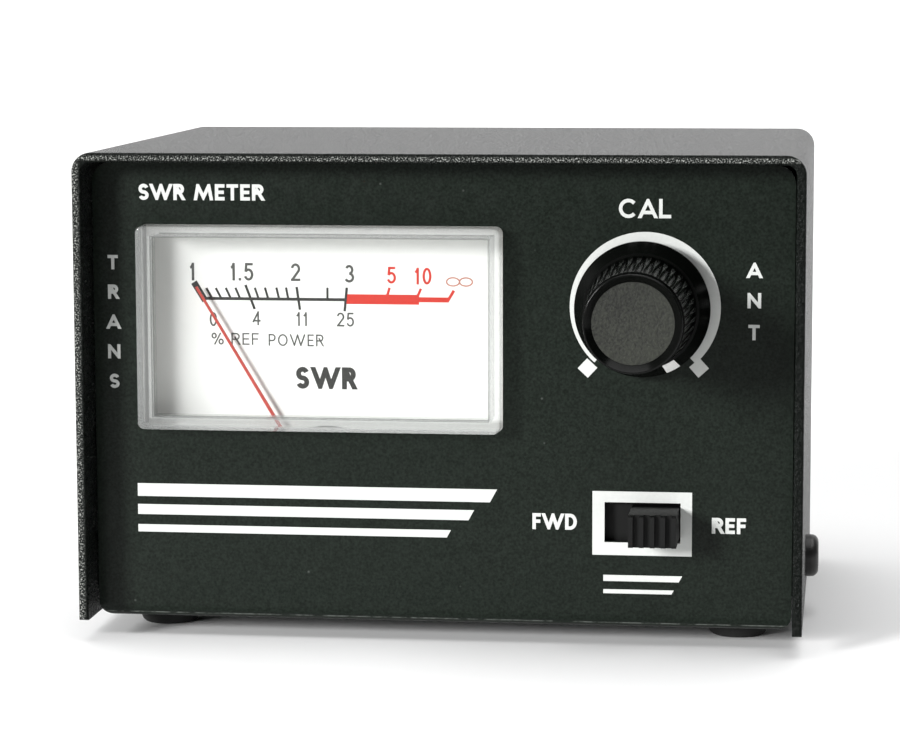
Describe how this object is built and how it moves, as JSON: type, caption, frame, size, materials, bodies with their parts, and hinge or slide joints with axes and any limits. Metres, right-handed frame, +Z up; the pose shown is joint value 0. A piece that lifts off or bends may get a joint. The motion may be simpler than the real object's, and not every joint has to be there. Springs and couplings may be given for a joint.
{
  "type": "swr meter",
  "caption": "Desktop radio meter in a folded steel case: clear-fronted moving-coil meter, skirted calibration knob, slide switch and coaxial sockets at the back.",
  "frame": {"origin": "on the table under the middle of the case, on the plane of the feet's undersides", "axes": "+X to the right as seen from the front, +Y from the front panel to the back, +Z up"},
  "size_m": [0.1088, 0.112, 0.0716],
  "materials": {
    "wrinkle_paint": "wrinkle",
    "satin_paint": "satin",
    "black_screw": "satin",
    "white_plastic": "moulded",
    "rubber": "matte",
    "clear_plastic": "polished",
    "foam_tape": "foam",
    "black_plastic": "semi-gloss",
    "knob_texture": "fine grain",
    "dial_white": "matte print",
    "pointer_red": "satin",
    "steel": "plated",
    "magnet": "ground",
    "brass": "turned",
    "aluminium": "satin",
    "copper": "enamelled",
    "nickel": "nickel plated",
    "white_insulator": "turned",
    "board": "laminate",
    "component_body": "lacquered",
    "wire_red": "PVC",
    "wire_white": "PVC",
    "wire_black": "PVC"
  },
  "bodies": {
    "case": {"antenna_socket_contact": "brass", "antenna_socket_insulator": "white_insulator", "antenna_socket_shell": "nickel", "bridge_screws": "steel", "bypass_capacitors": "component_body", "chassis": "satin_paint", "control_board": "board", "core_holders": "brass", "core_magnet": "magnet", "coupler_board": "board", "cover": "wrinkle_paint", "cover_screws": "black_screw", "detector_diodes": "component_body", "dial_plate": "dial_white", "dial_screws": "steel", "feet": "rubber", "forward_wire": "wire_red", "front_bridge": "aluminium", "front_hairspring": "brass", "ground_tags": "steel", "ground_wire": "wire_black", "jewel_screws": "brass", "load_resistors": "component_body", "meter_housing": "white_plastic", "meter_tape": "foam_tape", "meter_terminals": "brass", "meter_window": "clear_plastic", "meter_wires": "wire_red", "pot_bush": "brass", "pot_can": "steel", "pot_nut": "nickel", "pot_pins": "steel", "pot_wafer": "board", "pot_washer": "steel", "rear_bridge": "aluminium", "rear_hairspring": "brass", "reflected_wire": "wire_white", "sense_lines": "copper", "socket_nuts": "steel", "socket_screws": "steel", "switch_base": "board", "switch_frame": "steel", "switch_pins": "steel", "through_line": "copper", "transmitter_socket_contact": "brass", "transmitter_socket_insulator": "white_insulator", "transmitter_socket_shell": "nickel", "yoke_ring": "steel"},
    "cal_control": {"cal_knob": "black_plastic", "knob_cap": "knob_texture", "pot_shaft": "aluminium", "pot_wiper": "black_plastic"},
    "switch_actuator": {"switch_slider": "black_plastic", "switch_contacts": "brass"},
    "meter_movement": {"coil_former": "aluminium", "coil_winding": "copper", "pivot_staffs": "steel", "pointer": "pointer_red", "balance_weights": "brass"}
  },
  "joints": [
    {"name": "cal_turn", "type": "hinge", "parent": "case", "child": "cal_control", "pos_m": [0.0294, -0.034, 0.0495], "axis": [0, -1, 0], "range_deg": [0, 300]},
    {"name": "switch_slide", "type": "slide", "parent": "case", "child": "switch_actuator", "axis": [-1, 0, 0], "range_m": [0, 0.0038]},
    {"name": "pointer_swing", "type": "hinge", "parent": "case", "child": "meter_movement", "pos_m": [-0.0174, -0.02, 0.01965], "axis": [0, 1, 0], "range_deg": [0, 62], "stiffness_Nm_per_rad": 0.000028, "springref_deg": -5.73}
  ]
}
